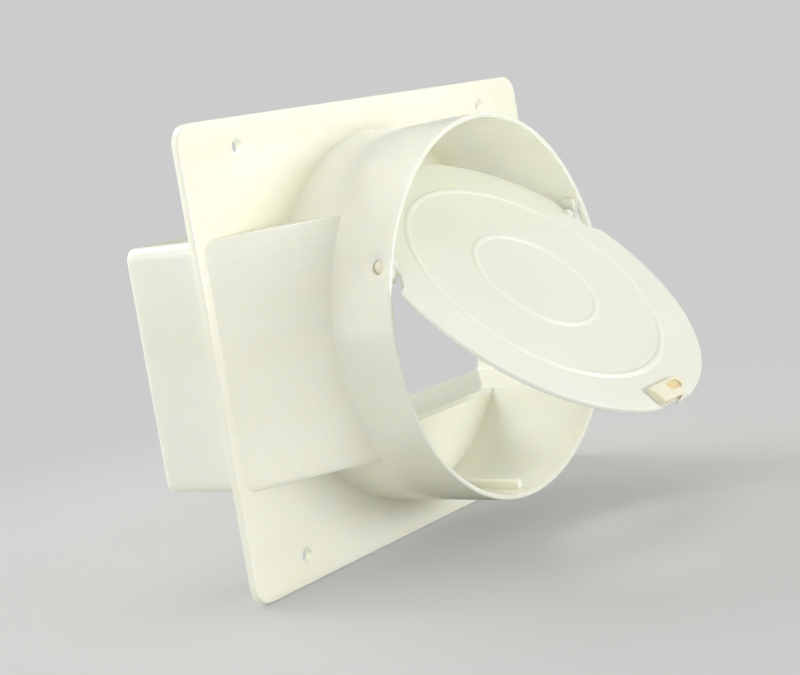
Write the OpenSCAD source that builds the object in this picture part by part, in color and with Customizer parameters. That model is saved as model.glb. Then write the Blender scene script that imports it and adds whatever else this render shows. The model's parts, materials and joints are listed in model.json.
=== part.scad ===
// Duct adapter with a backdraft flap: a wall plate joins a flat rectangular duct behind it
// to a round duct in front of it, and a hinged disc in the round collar lets air out only.
// X runs along the plate, Y points into the wall and Z is up. The origin is the centre of
// the plate's wall face, on the collar's axis.

/* [Wall plate] */
// Width of the plate
plate_w = 222; // [218:1:300]
// Height of the plate
plate_h = 176; // [160:1:240]
// Thickness of the plate
plate_t = 3; // [2:0.5:5]
// Radius of the plate's corners
plate_corner_r = 8; // [3:1:12]
// Rounding of the plate's front edge
plate_edge_r = 0.8; // [0.3:0.1:1.2]

/* [Screw holes] */
// Distance of the holes from the plate's side edges
hole_edge_x = 30.5; // [26:0.5:33]
// Distance of the holes from the plate's top and bottom edges
hole_edge_z = 11; // [6:0.5:14]
// Diameter of the holes
hole_d = 5.5; // [4:0.5:7]

/* [Flat spigot] */
// Outer width of the flat spigot
spigot_w = 214; // [200:1:216]
// Outer height of the flat spigot
spigot_h = 92.6; // [84:0.2:100]
// How far the spigot reaches behind the wall face
spigot_len = 36; // [20:1:60]
// Outer radius of the spigot's corners
spigot_corner_r = 5; // [3:0.5:8]
// Wall of the spigot and of the cheeks beside the collar
spigot_wall = 2; // [1.5:0.1:2.5]

/* [Collar] */
// Outer diameter of the collar
collar_d = 150; // [144:1:154]
// How far the collar stands in front of the plate
collar_len = 52.3; // [46:0.1:70]
// Wall of the collar
collar_wall = 2; // [1.5:0.1:2.5]
// Rounding of the collar's rim
rim_r = 0.6; // [0.2:0.1:0.7]
// How far the cheeks reach along the collar
cheek_depth = 25.5; // [18:0.5:30]
// How far the cheeks hollow, as a share of their run, where 0 is straight
cheek_hollow = 0.12; // [0:0.02:0.3]
// Gap between the cheeks and the straight seat that takes the duct
seat_gap = 0.8; // [0.4:0.1:3]
// How much the collar widens from that seat to the plate, on the radius
root_draft = 0.3; // [0.2:0.05:0.35]
// How far the end walls inside the collar lie behind the plate's front
end_wall_recess = 0.5; // [0:0.1:1]
// Depth of the sloped lip where the end walls meet the flat duct
lip_depth = 4.5; // [2:0.5:6]
// Height of that lip
lip_h = 0.9; // [0.4:0.1:1.2]
// Gap between the lip's ends and the collar's inside
lip_end_gap = 0.3; // [0.1:0.1:2]

/* [Hinge] */
// Height of the hinge axis above the collar's axis
hinge_h = 27; // [22:0.5:32]
// Distance of the hinge axis behind the rim
hinge_back = 5.8; // [5:0.1:10]
// Diameter of the hinge pins
pin_d = 5; // [4:0.5:6]
// Play around a hinge pin, measured on the radius
pin_play = 0.05; // [0.03:0.01:0.1]
// Radius of the hinge bosses
boss_r = 6.8; // [5:0.1:8]
// Distance of a boss's flat face from the middle plane
boss_face_x = 64; // [62:0.5:66]
// How far a boss reaches in front of the hinge axis
boss_front = 3; // [2.8:0.1:4]

/* [Flap] */
// Thickness of the flap
flap_t = 2; // [1.5:0.1:3]
// Rounding of the flap's edge
flap_edge_r = 0.4; // [0.2:0.1:0.6]
// Gap between the flap's edge and the collar
flap_gap = 0.5; // [0.4:0.1:1.5]
// Gap between the flap's straight sides and the bosses
boss_gap = 1; // [0.5:0.1:2]
// Height over a boss's lower edge at which the flap's straight side ends
side_end = 1; // [0:0.5:2]
// Width of the slanted edge below the straight side
side_slant_w = 5; // [3:0.5:6]
// Height of that slanted edge
side_slant_h = 6; // [4:0.5:8]
// Width of the step from there to the round edge
side_step_w = 3; // [1:0.5:4]
// Height of that step
side_step_h = 1.5; // [0.5:0.5:3]
// How far the flap stands open, where 0 is shut
rest_angle = 47; // [0:1:85]
// Radius of the inner stiffening bead
bead_inner_r = 26; // [18:1:34]
// Radius of the outer stiffening bead
bead_outer_r = 54.5; // [44:0.5:58]
// Width of a bead
bead_w = 3; // [2:0.1:4]
// Height of a bead over the flap's face
bead_h = 0.7; // [0.4:0.1:0.9]

/* [Stop rib] */
// Width of the stop rib
rib_w = 2.6; // [1.6:0.2:4]
// Height of the stop rib over the collar's inside
rib_h = 3.8; // [2.5:0.1:6]
// Gap between the rib's end and the shut flap
rib_gap = 0.3; // [0.2:0.1:1]

/* [Weight] */
// Width of the weight's holder
holder_w = 22.4; // [20:0.2:26]
// Length of the holder, in from the flap's edge
holder_l = 9.3; // [9:0.1:12]
// Height of the holder over the flap
holder_t = 2.5; // [2.2:0.1:4]
// Length of the holder's short side, above its slanted corner
holder_side = 3.6; // [3:0.2:5]
// Width of the slanted corner
holder_slant = 9.2; // [7:0.2:11]
// Wall around and over the weight
holder_wall = 0.8; // [0.7:0.1:1]
// Play around the weight
weight_play = 0.1; // [0.05:0.05:0.2]
// How far the weight's end lies behind the holder's mouth
weight_recess = 0.8; // [0.4:0.1:1.5]
// Length of the window in the holder
window_l = 9.5; // [6:0.5:9.5]
// Width of the window in the holder
window_w = 4; // [2.5:0.5:4]

/* [Hidden] */
$fn = 96;
cut = 1;

collar_r = collar_d / 2;
bore_r = collar_r - collar_wall;
front_y = -plate_t;
rim_y = front_y - collar_len;
end_wall_y = front_y + end_wall_recess;
cheek_set_back = 0.55 * spigot_wall;
hole_x = plate_w / 2 - hole_edge_x;
hole_z = plate_h / 2 - hole_edge_z;
root_len = cheek_depth + seat_gap;
cheek_rings = 6;
cheek_sink = 0.15;

hinge_y = rim_y + hinge_back;
pin_hole_r = pin_d / 2 + pin_play;
pin_dome = 1.1;
pin_dome_r = (pin_d * pin_d / 4 + pin_dome * pin_dome) / (2 * pin_dome);
wall_x = sqrt(collar_r * collar_r - hinge_h * hinge_h);
pin_end_x = wall_x - pow(hinge_h / wall_x, 2) * pin_dome_r / 2;

flap_r = bore_r - flap_gap;
bead_arc_r = (bead_w * bead_w / 4 + bead_h * bead_h) / (2 * bead_h);
side_x = boss_face_x - boss_gap;
pin_root = 2;
rib_end_y = hinge_y + flap_t / 2 + rib_gap;

holder_x = holder_w / 2;
holder_in_r = flap_r - holder_l;
slant_r = holder_in_r + holder_side;
slant_k = holder_slant / (flap_r - slant_r);
holder_edge = 0.3;
window_x = 3.6;
window_back = 3.3;
window_r = holder_in_r + window_back;
mouth_inset = 0.5;
mouth_x = holder_x - holder_slant - mouth_inset;
mouth_d = 1;

cream = [0.93, 0.925, 0.84];
milky = [0.92, 0.93, 0.88, 0.8];
holder_cream = [0.94, 0.92, 0.82];
amber = [0.91, 0.82, 0.58];

// Turns a flat shape so that it stands in the XZ plane with its depth along -Y
module upright() {
    rotate([90, 0, 0]) children();
}

module rounded_rect(w, h, r) {
    square([w - 2 * r, h], center = true);
    square([w, h - 2 * r], center = true);
    for (x = [-1, 1], z = [-1, 1])
        translate([x * (w / 2 - r), z * (h / 2 - r)]) circle(r);
}

// Plate with its front edge rolled over: straight quarter rounds and torus corners
module plate() {
    e = plate_edge_r;
    back_t = plate_t - e;
    upright() {
        linear_extrude(back_t) rounded_rect(plate_w, plate_h, plate_corner_r);
        linear_extrude(plate_t)
            rounded_rect(plate_w - 2 * e, plate_h - 2 * e, plate_corner_r - e);
        for (s = [-1, 1]) {
            translate([s * (plate_w / 2 - e), 0, back_t]) rotate([90, 0, 0])
                cylinder(r = e, h = plate_h - 2 * plate_corner_r, center = true, $fn = 32);
            translate([0, s * (plate_h / 2 - e), back_t]) rotate([0, 90, 0])
                cylinder(r = e, h = plate_w - 2 * plate_corner_r, center = true, $fn = 32);
        }
        for (x = [-1, 1], z = [-1, 1])
            translate([x * (plate_w / 2 - plate_corner_r), z * (plate_h / 2 - plate_corner_r), back_t])
                rotate_extrude() translate([plate_corner_r - e, 0]) circle(e, $fn = 32);
    }
}

// Half width of the flat duct at height z, with its corners rounded
function duct_x(z, w, h, r) =
    let (over = max(0, abs(z) - (h / 2 - r)))
    w / 2 - r + sqrt(max(0, r * r - over * over));

// Share of the way from the duct's side to the collar at depth t, from 0 to 1
function cheek_share(t) = t + cheek_hollow * t * (1 - t);

// Heights at which the cheeks are drawn: even steps along the collar, close ones at the corners
function cheek_heights(h, r, round_r) =
    let (
        flat_z = h / 2 - r,
        flat_a = asin(flat_z / round_r),
        steps = 22,
        bend = [for (a = [15:25:90]) flat_z + r * sin(a)]
    )
    concat(
        [-h / 2],
        [for (i = [len(bend) - 1:-1:0]) if (bend[i] < h / 2 - 0.01) -bend[i]],
        [for (i = [0:steps]) round_r * sin(flat_a * (2 * i / steps - 1))],
        [for (i = [0:len(bend) - 1]) if (bend[i] < h / 2 - 0.01) bend[i]],
        [h / 2]
    );

// Solid that runs from the flat duct's section at y = 0 to the collar's arcs at y = -depth
module cheeks(w, h, r, round_r, depth) {
    heights = cheek_heights(h, r, round_r);
    m = len(heights);
    n = 2 * m;
    points = [
        for (k = [0:cheek_rings])
            let (t = k / cheek_rings, share = cheek_share(t))
            for (i = [0:n - 1])
                let (
                    side = i < m ? 1 : -1,
                    z = heights[i < m ? i : n - 1 - i],
                    duct = duct_x(z, w, h, r),
                    arc = sqrt(round_r * round_r - z * z)
                )
                [side * (duct + (arc - duct) * share), -depth * t, z]
    ];
    walls = [
        for (k = [0:cheek_rings - 1], i = [0:n - 1])
            let (j = (i + 1) % n, a = k * n + i, b = k * n + j, c = a + n, d = b + n)
            each [[a, c, b], [b, c, d]]
    ];
    back = [for (i = [0:n - 1]) i];
    front = [for (i = [n - 1:-1:0]) cheek_rings * n + i];
    polyhedron(points, concat([back, front], walls), convexity = 4);
}

// Collar with a straight seat for the duct in front and a slightly drafted root at the plate
module collar_solid() {
    upright() translate([0, 0, -front_y]) {
        cylinder(r1 = collar_r + root_draft, r2 = collar_r, h = root_len);
        translate([0, 0, root_len]) rotate_extrude() {
            square([collar_r, collar_len - root_len - rim_r]);
            square([collar_r - rim_r, collar_len - root_len]);
            translate([collar_r - rim_r, collar_len - root_len - rim_r]) circle(rim_r, $fn = 32);
        }
    }
}

module collar_bore() {
    translate([0, end_wall_y, 0]) upright()
        cylinder(r = bore_r, h = collar_len + end_wall_recess + cut);
    translate([0, rim_y, 0]) rotate([-90, 0, 0])
        cylinder(r1 = bore_r + rim_r, r2 = bore_r, h = rim_r);
}

module spigot_solid() {
    translate([0, spigot_len, 0]) upright()
        linear_extrude(spigot_len + plate_t / 2) rounded_rect(spigot_w, spigot_h, spigot_corner_r);
}

module spigot_bore() {
    wall = spigot_wall;
    translate([0, spigot_len + cut, 0]) upright()
        linear_extrude(spigot_len + cut - front_y - cheek_set_back)
            rounded_rect(spigot_w - 2 * wall, spigot_h - 2 * wall, spigot_corner_r - wall);
}

// Flat-faced pads that carry the hinge pins, cut off short of the rim
module hinge_bosses() {
    intersection() {
        for (s = [0, 180])
            translate([0, hinge_y, hinge_h]) rotate([0, 90, s])
                translate([0, 0, boss_face_x]) cylinder(r = boss_r, h = collar_r - boss_face_x);
        translate([0, hinge_y - boss_front, 0]) rotate([-90, 0, 0])
            cylinder(r = collar_r - collar_wall / 2, h = boss_front + boss_r + cut);
    }
}

// Rib along the bottom of the collar, whose end the shut flap rests on
module stop_rib() {
    l = end_wall_y - rib_end_y + end_wall_recess;
    round_r = rib_w / 2;
    translate([-round_r, rib_end_y, -collar_r + collar_wall / 2])
        cube([rib_w, l, rib_h + collar_wall / 2 - round_r]);
    translate([0, rib_end_y, -bore_r + rib_h - round_r]) rotate([-90, 0, 0])
        cylinder(r = round_r, h = l, $fn = 32);
}

// Slopes that lead from the end walls inside the collar into the flat duct, above and below
module duct_lips() {
    duct_z = spigot_h / 2 - spigot_wall;
    edge_z = duct_z + lip_h;
    half_l = sqrt(bore_r * bore_r - edge_z * edge_z) - lip_end_gap;
    for (s = [0, 180]) rotate([0, s, 0])
        translate([-half_l, end_wall_y, -duct_z]) rotate([90, 0, 90])
            linear_extrude(2 * half_l)
                polygon([[-cut, cut], [-cut, -lip_h], [0, -lip_h], [lip_depth, 0], [lip_depth, cut]]);
}

module pin_holes() {
    translate([0, hinge_y, hinge_h]) rotate([0, 90, 0])
        cylinder(r = pin_hole_r, h = 2 * (collar_r + cut), center = true, $fn = 48);
}

module screw_holes() {
    for (x = [-1, 1], z = [-1, 1])
        translate([x * hole_x, cut, z * hole_z]) upright()
            cylinder(d = hole_d, h = plate_t + 2 * cut, $fn = 48);
}

module adapter_body() {
    wall = spigot_wall;
    color(cream) difference() {
        union() {
            difference() {
                union() {
                    plate();
                    spigot_solid();
                    collar_solid();
                    translate([0, front_y, 0])
                        cheeks(spigot_w, spigot_h, spigot_corner_r, collar_r - cheek_sink, cheek_depth);
                }
                collar_bore();
                spigot_bore();
                translate([0, front_y + cheek_set_back, 0])
                    cheeks(spigot_w - 2 * wall, spigot_h - 2 * wall, spigot_corner_r - wall,
                        bore_r - cheek_sink, cheek_depth);
            }
            hinge_bosses();
            stop_rib();
        }
        duct_lips();
        pin_holes();
        screw_holes();
    }
}

// Carries a piece drawn on the shut flap, around its hinge axis, to where the flap stands
module on_flap() {
    translate([0, hinge_y, hinge_h]) rotate([-rest_angle, 0, 0]) children();
}

// Disc with a rounded edge, its middle plane at height 0
module flap_disc() {
    e = flap_edge_r;
    rotate_extrude($fn = 144) {
        translate([0, -flap_t / 2]) square([flap_r - e, flap_t]);
        translate([0, e - flap_t / 2]) square([flap_r, flap_t - 2 * e]);
        for (s = [-1, 1]) translate([flap_r - e, s * (flap_t / 2 - e)]) circle(e, $fn = 32);
    }
}

// Straight sides beside the bosses, which open out again where the flap passes the rim, and
// a shallow cut at the weight's mouth
module flap_cuts() {
    side_low = hinge_h - boss_r + side_end;
    slant_low = side_low - side_slant_h;
    step_low = slant_low - side_step_h;
    slant_x = side_x + side_slant_w;
    translate([0, 0, -flap_t]) linear_extrude(2 * flap_t) {
        for (s = [-1, 1]) scale([s, 1]) polygon([
            [side_x, side_low],
            [slant_x, slant_low],
            [slant_x + side_step_w, step_low],
            [collar_r, step_low],
            [collar_r, hinge_h + 2 * boss_r],
            [side_x, hinge_h + 2 * boss_r]
        ]);
        translate([-holder_x + mouth_inset, -flap_r - cut])
            square([holder_x + mouth_x - mouth_inset, mouth_d + cut]);
    }
}

module bead(r) {
    translate([0, 0, flap_t / 2 + bead_h - bead_arc_r]) rotate_extrude($fn = 144)
        translate([r, 0]) circle(bead_arc_r, $fn = 32);
}

module hinge_pin() {
    translate([0, 0, side_x - pin_root])
        cylinder(d = pin_d, h = pin_end_x - pin_dome - side_x + pin_root, $fn = 48);
    translate([0, 0, pin_end_x - pin_dome_r]) intersection() {
        sphere(pin_dome_r, $fn = 48);
        translate([0, 0, pin_dome_r - pin_dome - 0.01])
            cylinder(d = pin_d, h = pin_dome + cut, $fn = 48);
    }
}

module flap() {
    color(milky) on_flap() {
        translate([0, 0, -hinge_h]) upright() {
            difference() {
                flap_disc();
                flap_cuts();
            }
            intersection() {
                union() {
                    bead(bead_inner_r);
                    bead(bead_outer_r);
                }
                cylinder(r = flap_r, h = flap_t / 2 + bead_h);
            }
        }
        for (s = [0, 180]) rotate([0, 90, s]) hinge_pin();
    }
}

// Four square sides and a slanted corner, all moved inwards by inset
module holder_outline(inset) {
    k = slant_k;
    lean = inset * sqrt(1 + k * k);
    end_r = flap_r + cut;
    polygon([
        [-holder_x + inset, -holder_in_r - inset],
        [holder_x - inset, -holder_in_r - inset],
        [holder_x - inset, -slant_r + (lean - inset) / k],
        [holder_x - lean - k * (end_r - slant_r), -end_r],
        [-holder_x + inset, -end_r]
    ]);
}

// Cuts a piece on the flap's outer face to the flap's round edge and to the mouth
module trimmed(edge_r, mouth_r) {
    intersection() {
        children();
        on_flap() translate([0, 0, -hinge_h]) upright()
            linear_extrude(flap_t + holder_t) difference() {
                circle(edge_r, $fn = 144);
                translate([-holder_x, -flap_r - cut])
                    square([holder_x + mouth_x, flap_r + cut - mouth_r]);
            }
    }
}

module on_outer_face() {
    on_flap() translate([0, -flap_t / 2, -hinge_h]) upright() children();
}

module window() {
    translate([window_x, -window_r]) {
        square([window_l - window_w, window_w], center = true);
        for (s = [-1, 1])
            translate([s * (window_l - window_w) / 2, 0]) circle(d = window_w, $fn = 32);
    }
}

module weight_holder() {
    e = holder_edge;
    color(holder_cream) trimmed(flap_r - flap_edge_r, flap_r - mouth_d) on_outer_face() difference() {
        union() {
            linear_extrude(holder_t - e) holder_outline(0);
            linear_extrude(holder_t) holder_outline(e);
        }
        translate([0, 0, -cut])
            linear_extrude(cut + holder_t - holder_wall) holder_outline(holder_wall);
        linear_extrude(holder_t + cut) window();
    }
}

module weight_plate() {
    color(amber) trimmed(flap_r - flap_edge_r, flap_r - mouth_d - weight_recess) on_outer_face()
        linear_extrude(holder_t - holder_wall - weight_play)
            holder_outline(holder_wall + weight_play);
}

adapter_body();
flap();
weight_holder();
weight_plate();
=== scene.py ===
import json
import math

import bpy
from mathutils import Matrix, Vector


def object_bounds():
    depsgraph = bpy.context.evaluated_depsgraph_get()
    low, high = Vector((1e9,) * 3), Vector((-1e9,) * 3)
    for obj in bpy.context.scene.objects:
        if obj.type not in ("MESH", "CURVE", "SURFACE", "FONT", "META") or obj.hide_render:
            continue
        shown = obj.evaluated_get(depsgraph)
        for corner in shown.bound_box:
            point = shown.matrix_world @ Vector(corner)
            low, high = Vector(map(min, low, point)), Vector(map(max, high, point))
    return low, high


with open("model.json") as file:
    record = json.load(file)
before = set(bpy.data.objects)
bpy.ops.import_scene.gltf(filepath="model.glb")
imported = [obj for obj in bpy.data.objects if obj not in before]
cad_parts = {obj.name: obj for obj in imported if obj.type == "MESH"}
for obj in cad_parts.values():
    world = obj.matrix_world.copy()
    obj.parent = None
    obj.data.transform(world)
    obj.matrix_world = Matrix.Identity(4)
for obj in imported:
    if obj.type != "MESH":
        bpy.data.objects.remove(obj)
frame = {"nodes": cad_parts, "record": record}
cad_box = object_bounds()


# Colours, written as levels out of 255

def lin(v):
    v /= 255
    return v / 12.92 if v <= 0.04045 else ((v + 0.055) / 1.055) ** 2.4


def rgb(r, g, b):
    return (lin(r), lin(g), lin(b), 1.0)


BACK = rgb(204, 204, 204)
FLOOR_SEEN = rgb(206, 206, 206)
FLOOR_BOUNCE = rgb(190, 190, 190)
ROOM = (1.0, 1.0, 0.84, 1.0)


# Places on the part, in metres. The hinge and the flap's angle come from the frame.

joint = frame["record"]["behaviour"]["joints"][0]
HINGE = tuple(joint["pos_m"])
REST_ANGLE = math.radians(-joint["range_deg"][0])

PADS_XZ = ((-0.030, 0.0758), (0.0245, 0.0792), (0.0245, -0.0758), (-0.0312, -0.0758))
PAD_R = 0.0045
PAD_EDGE = 0.0005
SINK_R = 0.0066
SINK_WIDTH = 0.0009
BEAD_RADII = (0.026, 0.0545)
BEAD_WIDTH = 0.0009
PIN_R = 0.003
PIN_EDGE = 0.0004
PIN_X = (0.0628, 0.0634)


# Floor, light and camera, in metres, watts, degrees and millimetres

FLOOR_HALF = 4.0
FLOOR_DROP = 0.0002
SHADOW_FADE = (0.16, 0.42)
NEAR_SHARE = 0.4
ROOM_STRENGTH = 0.24
# Name, azimuth from the front, height, distance, size, power
LAMPS = (
    ("front", 12, 2, 1.2, (0.8, 0.35), 8.2),
    ("front_right", 40, 20, 1.4, (0.7, 0.7), 2.4),
    ("left", -57, 14, 1.4, (0.9, 0.9), 4.2),
    ("back_left", -130, 15, 1.4, (1.2, 1.0), 6.9),
    ("back", 180, 38, 1.4, (0.7, 0.7), 12.0),
    ("top", 0, 90, 1.4, (1.0, 1.0), 7.0),
)
CAMERA_PLACE = (-0.55218, -0.42188, 0.08027)
CAMERA_RIGHT = (0.5819, -0.7976, -0.1588)
CAMERA_AHEAD = (0.7887, 0.6011, -0.1288)
LENS = 77.46
SENSOR = 36.0


# Node helpers

def feed(tree, socket, value):
    if isinstance(value, bpy.types.NodeSocket):
        tree.links.new(value, socket)
    elif value is not None:
        socket.default_value = value


def fill(tree, node, inputs):
    for key, value in inputs.items():
        feed(tree, node.inputs[key], value)


def add(tree, kind, inputs=None, **settings):
    n = tree.nodes.new(kind)
    for key, value in settings.items():
        setattr(n, key, value)
    fill(tree, n, inputs or {})
    return n


def maths(tree, operation, a, b=None):
    n = add(tree, "ShaderNodeMath", operation=operation)
    feed(tree, n.inputs[0], a)
    feed(tree, n.inputs[1], b)
    return n.outputs[0]


def vectors(tree, operation, a, b=None):
    n = add(tree, "ShaderNodeVectorMath", operation=operation)
    feed(tree, n.inputs[0], a)
    feed(tree, n.inputs[1], b)
    return n.outputs["Value" if operation == "LENGTH" else "Vector"]


def total(tree, values):
    out = values[0]
    for v in values[1:]:
        out = maths(tree, "ADD", out, v)
    return out


def ramp(tree, value, low, high, to_low=0.0, to_high=1.0):
    n = add(tree, "ShaderNodeMapRange", {"Value": value, "From Min": low, "From Max": high,
                                         "To Min": to_low, "To Max": to_high},
            interpolation_type="SMOOTHSTEP")
    return n.outputs[0]


def spread(tree, value, to_low=0.0, to_high=1.0, half=0.2):
    """A noise's middle, half to each side of 0.5, spread between two values."""
    return ramp(tree, value, 0.5 - half, 0.5 + half, to_low, to_high)


def noise(tree, coords, scale, detail=3.0, rough=0.5, stretch=None):
    if stretch:
        coords = add(tree, "ShaderNodeMapping", {"Vector": coords, "Scale": stretch}).outputs[0]
    return add(tree, "ShaderNodeTexNoise",
               {"Vector": coords, "Scale": scale, "Detail": detail, "Roughness": rough}).outputs[0]


def blend_colour(tree, factor, a, b):
    n = add(tree, "ShaderNodeMix", data_type="RGBA")
    feed(tree, n.inputs[0], factor)
    feed(tree, n.inputs[6], a)
    feed(tree, n.inputs[7], b)
    return n.outputs[2]


def bump(tree, height, strength, distance):
    return add(tree, "ShaderNodeBump",
               {"Height": height, "Strength": strength, "Distance": distance}).outputs[0]


def reach(tree, coords, centre, plane):
    """How far a point is from the centre, measured in the plane whose axes are 1."""
    return vectors(tree, "LENGTH",
                   vectors(tree, "MULTIPLY", vectors(tree, "SUBTRACT", coords, centre), plane))


def ring(tree, coords, centre, plane, radius, width):
    """A soft ring of 1 on 0."""
    gap = maths(tree, "ABSOLUTE", maths(tree, "SUBTRACT", reach(tree, coords, centre, plane), radius))
    return ramp(tree, gap, 0.0, width, 1.0, 0.0)


def disc(tree, coords, centre, plane, radius, width):
    """A disc of 1 on 0, with a soft edge of that width."""
    return ramp(tree, reach(tree, coords, centre, plane), radius - width / 2, radius + width / 2, 1.0, 0.0)


def bare_tree(owner):
    owner.use_nodes = True
    owner.node_tree.nodes.clear()
    return owner.node_tree


def plastic(name):
    m = bpy.data.materials.new(name)
    t = bare_tree(m)
    out = add(t, "ShaderNodeOutputMaterial")
    shader = add(t, "ShaderNodeBsdfPrincipled")
    t.links.new(shader.outputs[0], out.inputs[0])
    coords = add(t, "ShaderNodeTexCoord").outputs["Object"]
    return m, t, shader, coords


def mix_shaders(tree, factor, a, b, out):
    mix = add(tree, "ShaderNodeMixShader", {0: factor})
    tree.links.new(a.outputs[0], mix.inputs[1])
    tree.links.new(b.outputs[0], mix.inputs[2])
    tree.links.new(mix.outputs[0], out.inputs[0])


# Body: glossy cream moulding with flow streaks, a slight ripple, ejector marks and a shallow
# sink around each pin hole

def body_material():
    m, t, s, co = plastic("cream_moulding")
    cloud = noise(t, co, 14.0, 4.0)
    streak = noise(t, co, 22.0, 5.0, 0.6, (0.25, 0.6, 2.4))
    tone = maths(t, "ADD", maths(t, "MULTIPLY", cloud, 0.55), maths(t, "MULTIPLY", streak, 0.45))
    colour = blend_colour(t, spread(t, tone, half=0.15), rgb(244, 244, 229), rgb(247, 248, 236))
    fine = noise(t, co, 900.0, 2.0)
    pads = total(t, [disc(t, co, (x, 0, z), (1, 0, 1), PAD_R, PAD_EDGE) for x, z in PADS_XZ])
    sinks = ring(t, co, HINGE, (0, 1, 1), SINK_R, SINK_WIDTH)
    height = total(t, [
        maths(t, "MULTIPLY", noise(t, co, 26.0, 1.0), 0.35),
        maths(t, "MULTIPLY", fine, 0.002),
        maths(t, "MULTIPLY", pads, 0.3),
        maths(t, "MULTIPLY", sinks, -0.14),
    ])
    fill(t, s, {
        "Base Color": colour,
        "Roughness": maths(t, "ADD", spread(t, streak, 0.14, 0.2), spread(t, fine, -0.01, 0.01)),
        "IOR": 1.52,
        "Subsurface Weight": 0.7,
        "Subsurface Radius": (1.0, 1.0, 0.7),
        "Subsurface Scale": 0.004,
        "Normal": bump(t, height, 0.35, 0.0006),
    })
    return m


# Flap: milky thin sheet, clouded by the flow of the melt, with a painted highlight along its raised beads
# and cream at its pins, painted paler there against the shade of the pin holes

def flap_material():
    m, t, s, co = plastic("milky_sheet")
    off = vectors(t, "SUBTRACT", co, HINGE)
    shut = add(t, "ShaderNodeVectorRotate", {"Vector": off, "Angle": REST_ANGLE},
               rotation_type="X_AXIS").outputs[0]
    cloud = noise(t, co, 20.0, 4.0)
    sheet = blend_colour(t, spread(t, cloud), rgb(237, 239, 225), rgb(241, 243, 229))
    centre = (0, 0, -HINGE[2])
    # Painted highlight: rings along the beads are painted whiter, standing in for light on their crests
    bead_highlight_rings = total(t, [ring(t, shut, centre, (1, 0, 1), r, BEAD_WIDTH) for r in BEAD_RADII])
    sheet_and_bead_highlights = blend_colour(t, maths(t, "MULTIPLY", bead_highlight_rings, 0.5), sheet, rgb(246, 247, 238))
    side = maths(t, "ABSOLUTE", add(t, "ShaderNodeSeparateXYZ", {0: shut}).outputs["X"])
    # The pins' cream is their own colour, partly painted light: it is painted paler to lift the pin ends
    # out of the shade in their holes
    pin = maths(t, "MULTIPLY", ramp(t, side, *PIN_X),
                disc(t, shut, (0, 0, 0), (0, 1, 1), PIN_R, PIN_EDGE))
    fine = noise(t, co, 1100.0, 2.0)
    height = maths(t, "ADD", maths(t, "MULTIPLY", noise(t, co, 34.0, 1.0), 0.3),
                   maths(t, "MULTIPLY", fine, 0.002))
    fill(t, s, {
        "Base Color": blend_colour(t, pin, sheet_and_bead_highlights, rgb(254, 249, 226)),
        "Roughness": maths(t, "ADD", spread(t, cloud, 0.3, 0.38), spread(t, fine, -0.02, 0.02)),
        "IOR": 1.49,
        "Subsurface Weight": ramp(t, pin, 0.0, 1.0, 0.85, 0.1),
        "Subsurface Radius": (1.0, 1.0, 0.85),
        "Subsurface Scale": 0.005,
        "Normal": bump(t, height, 0.3, 0.0005),
    })
    return m


# Holder: cream, denser than the flap that it sits on

def holder_material():
    m, t, s, co = plastic("cream_holder")
    cloud = noise(t, co, 160.0, 3.0)
    fill(t, s, {
        "Base Color": blend_colour(t, spread(t, cloud), rgb(242, 236, 210), rgb(245, 240, 219)),
        "Roughness": spread(t, cloud, 0.3, 0.4),
        "Subsurface Weight": 0.3,
        "Subsurface Radius": (1.0, 0.85, 0.5),
        "Subsurface Scale": 0.0015,
        "Normal": bump(t, noise(t, co, 600.0, 2.0), 0.05, 0.0001),
    })
    return m


# Weight: amber, with a fine grain

def weight_material():
    m, t, s, co = plastic("amber_weight")
    grain = noise(t, co, 700.0, 4.0, 0.6)
    fill(t, s, {
        "Base Color": blend_colour(t, spread(t, grain, half=0.15), rgb(229, 209, 158), rgb(237, 220, 176)),
        "Roughness": spread(t, grain, 0.42, 0.58),
        "Normal": bump(t, grain, 0.3, 0.0001),
    })
    return m


dress = {
    "adapter_body": body_material(),
    "flap": flap_material(),
    "weight_holder": holder_material(),
    "weight_plate": weight_material(),
}
for node, material in dress.items():
    for slot in frame["nodes"][node].material_slots:
        slot.material = material


# Floor, with the object's shadow near it and the plain backdrop further off

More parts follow.
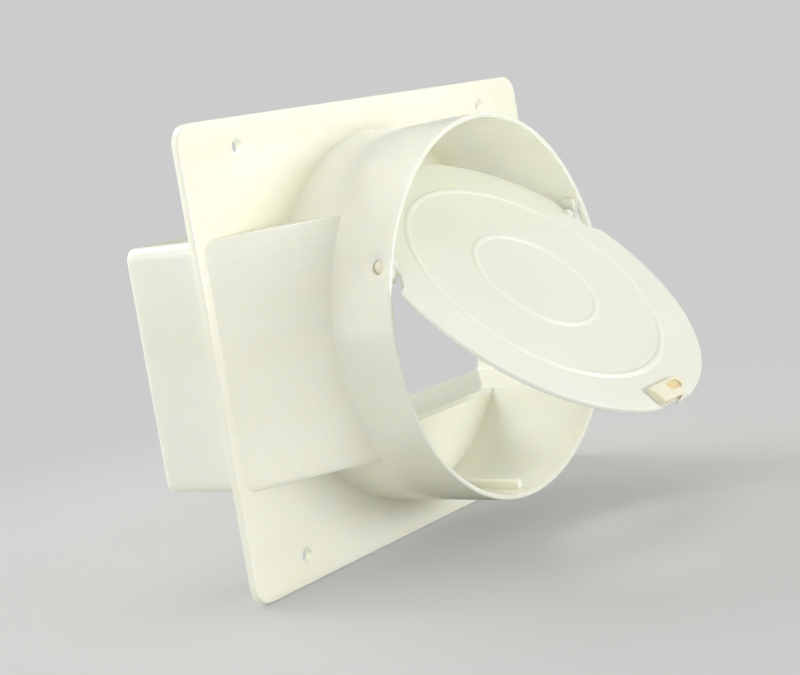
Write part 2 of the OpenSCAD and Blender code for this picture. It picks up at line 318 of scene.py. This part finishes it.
def floor():
    z = cad_box[0][2] - FLOOR_DROP
    mesh = bpy.data.meshes.new("floor")
    corners = [(x * FLOOR_HALF, y * FLOOR_HALF, z) for x, y in ((-1, -1), (1, -1), (1, 1), (-1, 1))]
    mesh.from_pydata(corners, [], [(0, 1, 2, 3)])
    o = bpy.data.objects.new("floor", mesh)
    bpy.context.scene.collection.objects.link(o)
    m = bpy.data.materials.new("floor")
    t = bare_tree(m)
    out = add(t, "ShaderNodeOutputMaterial")
    co = add(t, "ShaderNodeTexCoord").outputs["Object"]
    far = vectors(t, "LENGTH", co)
    seen = add(t, "ShaderNodeLightPath").outputs["Is Camera Ray"]
    paint = add(t, "ShaderNodeBsdfDiffuse", {"Color": blend_colour(t, seen, FLOOR_BOUNCE, FLOOR_SEEN)})
    plain = add(t, "ShaderNodeEmission", {"Color": BACK, "Strength": 1.0})
    share = maths(t, "MULTIPLY", ramp(t, far, *SHADOW_FADE, NEAR_SHARE, 1.0), seen)
    mix_shaders(t, share, paint, plain, out)
    mesh.materials.append(m)


# Light: a dim room, a plain backdrop that only the camera sees, and soft boxes

def studio():
    world = bpy.data.worlds.new("studio")
    bpy.context.scene.world = world
    t = bare_tree(world)
    out = add(t, "ShaderNodeOutputWorld")
    seen = add(t, "ShaderNodeLightPath").outputs["Is Camera Ray"]
    room = add(t, "ShaderNodeBackground", {"Color": ROOM, "Strength": ROOM_STRENGTH})
    plain = add(t, "ShaderNodeBackground", {"Color": BACK, "Strength": 1.0})
    mix_shaders(t, seen, room, plain, out)


def lamp(name, azimuth, height, distance, size, power):
    """A soft box that faces the origin."""
    data = bpy.data.lights.new(name, "AREA")
    data.shape = "RECTANGLE"
    data.size, data.size_y = size
    data.energy = power
    o = bpy.data.objects.new(name, data)
    bpy.context.scene.collection.objects.link(o)
    a, h = math.radians(azimuth), math.radians(height)
    o.location = Vector((math.sin(a) * math.cos(h), -math.cos(a) * math.cos(h), math.sin(h))) * distance
    o.rotation_euler = (-o.location).to_track_quat("-Z", "Y").to_euler()


floor()
studio()
for row in LAMPS:
    lamp(*row)


# Camera, at the photograph's place

def camera():
    data = bpy.data.cameras.new("camera")
    data.sensor_fit = "HORIZONTAL"
    data.sensor_width = SENSOR
    data.lens = LENS
    data.clip_start = 0.01
    data.clip_end = 50.0
    o = bpy.data.objects.new("camera", data)
    bpy.context.scene.collection.objects.link(o)
    right = Vector(CAMERA_RIGHT).normalized()
    ahead = Vector(CAMERA_AHEAD).normalized()
    up = right.cross(ahead).normalized()
    right = ahead.cross(up).normalized()
    turn = Matrix((right, up, -ahead)).transposed().to_4x4()
    o.matrix_world = Matrix.Translation(CAMERA_PLACE) @ turn
    bpy.context.scene.camera = o


camera()
bpy.context.scene.view_settings.view_transform = "Standard"
